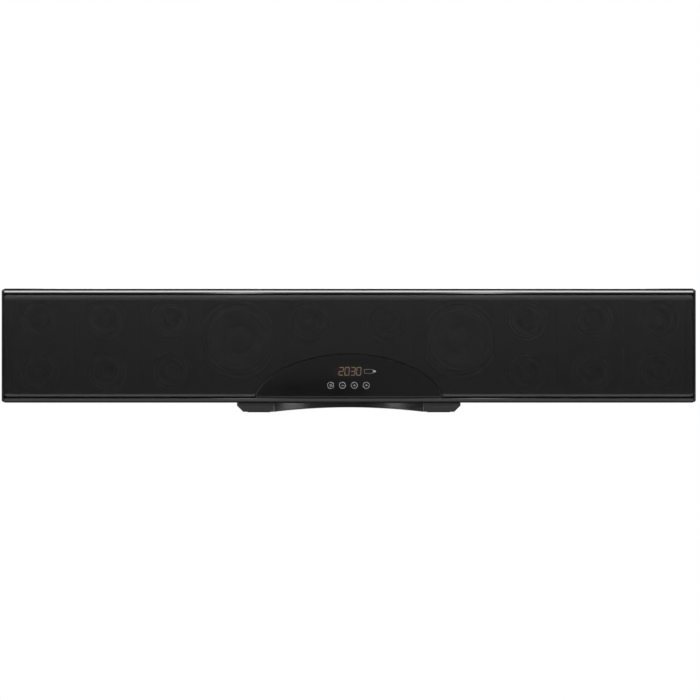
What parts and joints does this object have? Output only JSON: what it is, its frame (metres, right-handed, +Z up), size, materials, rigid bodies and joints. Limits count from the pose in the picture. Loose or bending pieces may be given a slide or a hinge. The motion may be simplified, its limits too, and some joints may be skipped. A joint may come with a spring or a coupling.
{
  "type": "soundbar",
  "caption": "Wide powered soundbar on an arched table foot: cabinet, cloth grille, driver array, arched control panel with display and push keys, rear connector recess.",
  "frame": {"origin": "bottom centre of the bounding box, on the surface the soundbar stands on", "axes": "+X to the right as seen from the front, -Y out of the grille, +Z up"},
  "size_m": [1.092, 0.11, 0.195],
  "materials": {
    "shell_plastic": "fine moulded texture, satin black",
    "gloss_black": "high gloss piano black",
    "baffle_board": "fibreboard painted matt black",
    "frame_plastic": "plain moulded black",
    "grille_fabric": "fine knitted acoustic cloth, charcoal black",
    "panel_acrylic": "tinted high gloss acrylic",
    "display": "amber segments behind tinted acrylic",
    "key_plastic": "glossy black with pale printed ring",
    "driver_metal": "pressed steel and magnet, painted black",
    "cone_paper": "coated pulp cone with soft dust cap",
    "circuit_board": "green solder mask",
    "supply_metal": "plain folded sheet and cans",
    "socket_plastic": "moulded black",
    "zinc_steel": "zinc plated",
    "pad_rubber": "matt black"
  },
  "bodies": {
    "cabinet": {"cabinet_shell": "shell_plastic", "front_baffle": "baffle_board", "top_rail": "gloss_black", "bottom_rail": "gloss_black", "end_cap_left": "gloss_black", "end_cap_right": "gloss_black", "control_panel": "panel_acrylic", "display_module": "display", "control_board": "circuit_board", "connector_tray": "shell_plastic", "mains_inlet": "socket_plastic", "input_sockets": "socket_plastic", "main_board": "circuit_board", "amplifier_board": "circuit_board", "power_supply": "supply_metal", "keyhole_plate_left": "zinc_steel", "keyhole_plate_right": "zinc_steel", "foot_bridge": "gloss_black", "foot_left": "shell_plastic", "foot_right": "shell_plastic", "pad_left": "pad_rubber", "pad_right": "pad_rubber", "woofer_left_basket": "driver_metal", "mid_left_basket": "driver_metal", "small_left_1_upper_basket": "driver_metal", "small_left_1_lower_basket": "driver_metal", "small_left_2_upper_basket": "driver_metal", "small_left_2_lower_basket": "driver_metal", "small_left_3_upper_basket": "driver_metal", "small_left_3_lower_basket": "driver_metal", "woofer_right_basket": "driver_metal", "mid_right_basket": "driver_metal", "small_right_1_upper_basket": "driver_metal", "small_right_1_lower_basket": "driver_metal", "small_right_2_upper_basket": "driver_metal", "small_right_2_lower_basket": "driver_metal", "small_right_3_upper_basket": "driver_metal", "small_right_3_lower_basket": "driver_metal"},
    "grille": {"grille_frame": "frame_plastic", "grille_cloth": "grille_fabric"},
    "power_key": {"power_key": "key_plastic"},
    "volume_down_key": {"volume_down_key": "key_plastic"},
    "volume_up_key": {"volume_up_key": "key_plastic"},
    "input_key": {"input_key": "key_plastic"},
    "woofer_left_cone": {"woofer_left_cone": "cone_paper"},
    "mid_left_cone": {"mid_left_cone": "cone_paper"},
    "small_left_1_upper_cone": {"small_left_1_upper_cone": "cone_paper"},
    "small_left_1_lower_cone": {"small_left_1_lower_cone": "cone_paper"},
    "small_left_2_upper_cone": {"small_left_2_upper_cone": "cone_paper"},
    "small_left_2_lower_cone": {"small_left_2_lower_cone": "cone_paper"},
    "small_left_3_upper_cone": {"small_left_3_upper_cone": "cone_paper"},
    "small_left_3_lower_cone": {"small_left_3_lower_cone": "cone_paper"},
    "woofer_right_cone": {"woofer_right_cone": "cone_paper"},
    "mid_right_cone": {"mid_right_cone": "cone_paper"},
    "small_right_1_upper_cone": {"small_right_1_upper_cone": "cone_paper"},
    "small_right_1_lower_cone": {"small_right_1_lower_cone": "cone_paper"},
    "small_right_2_upper_cone": {"small_right_2_upper_cone": "cone_paper"},
    "small_right_2_lower_cone": {"small_right_2_lower_cone": "cone_paper"},
    "small_right_3_upper_cone": {"small_right_3_upper_cone": "cone_paper"},
    "small_right_3_lower_cone": {"small_right_3_lower_cone": "cone_paper"}
  },
  "joints": [
    {"name": "grille_pull", "type": "slide", "parent": "cabinet", "child": "grille", "axis": [0, -1, 0], "range_m": [0, 0.03]},
    {"name": "power_key_press", "type": "slide", "parent": "cabinet", "child": "power_key", "axis": [0, 1, 0], "range_m": [0, 0.0008], "stiffness_N_per_m": 600},
    {"name": "volume_down_key_press", "type": "slide", "parent": "cabinet", "child": "volume_down_key", "axis": [0, 1, 0], "range_m": [0, 0.0008], "stiffness_N_per_m": 600},
    {"name": "volume_up_key_press", "type": "slide", "parent": "cabinet", "child": "volume_up_key", "axis": [0, 1, 0], "range_m": [0, 0.0008], "stiffness_N_per_m": 600},
    {"name": "input_key_press", "type": "slide", "parent": "cabinet", "child": "input_key", "axis": [0, 1, 0], "range_m": [0, 0.0008], "stiffness_N_per_m": 600},
    {"name": "woofer_left_travel", "type": "slide", "parent": "cabinet", "child": "woofer_left_cone", "axis": [0, -1, 0], "range_m": [-0.003, 0.003], "stiffness_N_per_m": 1200},
    {"name": "mid_left_travel", "type": "slide", "parent": "cabinet", "child": "mid_left_cone", "axis": [0, -1, 0], "range_m": [-0.002, 0.002], "stiffness_N_per_m": 1200},
    {"name": "small_left_1_upper_travel", "type": "slide", "parent": "cabinet", "child": "small_left_1_upper_cone", "axis": [0, -1, 0], "range_m": [-0.0015, 0.0015], "stiffness_N_per_m": 1200},
    {"name": "small_left_1_lower_travel", "type": "slide", "parent": "cabinet", "child": "small_left_1_lower_cone", "axis": [0, -1, 0], "range_m": [-0.0015, 0.0015], "stiffness_N_per_m": 1200},
    {"name": "small_left_2_upper_travel", "type": "slide", "parent": "cabinet", "child": "small_left_2_upper_cone", "axis": [0, -1, 0], "range_m": [-0.0015, 0.0015], "stiffness_N_per_m": 1200},
    {"name": "small_left_2_lower_travel", "type": "slide", "parent": "cabinet", "child": "small_left_2_lower_cone", "axis": [0, -1, 0], "range_m": [-0.0015, 0.0015], "stiffness_N_per_m": 1200},
    {"name": "small_left_3_upper_travel", "type": "slide", "parent": "cabinet", "child": "small_left_3_upper_cone", "axis": [0, -1, 0], "range_m": [-0.0015, 0.0015], "stiffness_N_per_m": 1200},
    {"name": "small_left_3_lower_travel", "type": "slide", "parent": "cabinet", "child": "small_left_3_lower_cone", "axis": [0, -1, 0], "range_m": [-0.0015, 0.0015], "stiffness_N_per_m": 1200},
    {"name": "woofer_right_travel", "type": "slide", "parent": "cabinet", "child": "woofer_right_cone", "axis": [0, -1, 0], "range_m": [-0.003, 0.003], "stiffness_N_per_m": 1200},
    {"name": "mid_right_travel", "type": "slide", "parent": "cabinet", "child": "mid_right_cone", "axis": [0, -1, 0], "range_m": [-0.002, 0.002], "stiffness_N_per_m": 1200},
    {"name": "small_right_1_upper_travel", "type": "slide", "parent": "cabinet", "child": "small_right_1_upper_cone", "axis": [0, -1, 0], "range_m": [-0.0015, 0.0015], "stiffness_N_per_m": 1200},
    {"name": "small_right_1_lower_travel", "type": "slide", "parent": "cabinet", "child": "small_right_1_lower_cone", "axis": [0, -1, 0], "range_m": [-0.0015, 0.0015], "stiffness_N_per_m": 1200},
    {"name": "small_right_2_upper_travel", "type": "slide", "parent": "cabinet", "child": "small_right_2_upper_cone", "axis": [0, -1, 0], "range_m": [-0.0015, 0.0015], "stiffness_N_per_m": 1200},
    {"name": "small_right_2_lower_travel", "type": "slide", "parent": "cabinet", "child": "small_right_2_lower_cone", "axis": [0, -1, 0], "range_m": [-0.0015, 0.0015], "stiffness_N_per_m": 1200},
    {"name": "small_right_3_upper_travel", "type": "slide", "parent": "cabinet", "child": "small_right_3_upper_cone", "axis": [0, -1, 0], "range_m": [-0.0015, 0.0015], "stiffness_N_per_m": 1200},
    {"name": "small_right_3_lower_travel", "type": "slide", "parent": "cabinet", "child": "small_right_3_lower_cone", "axis": [0, -1, 0], "range_m": [-0.0015, 0.0015], "stiffness_N_per_m": 1200}
  ]
}
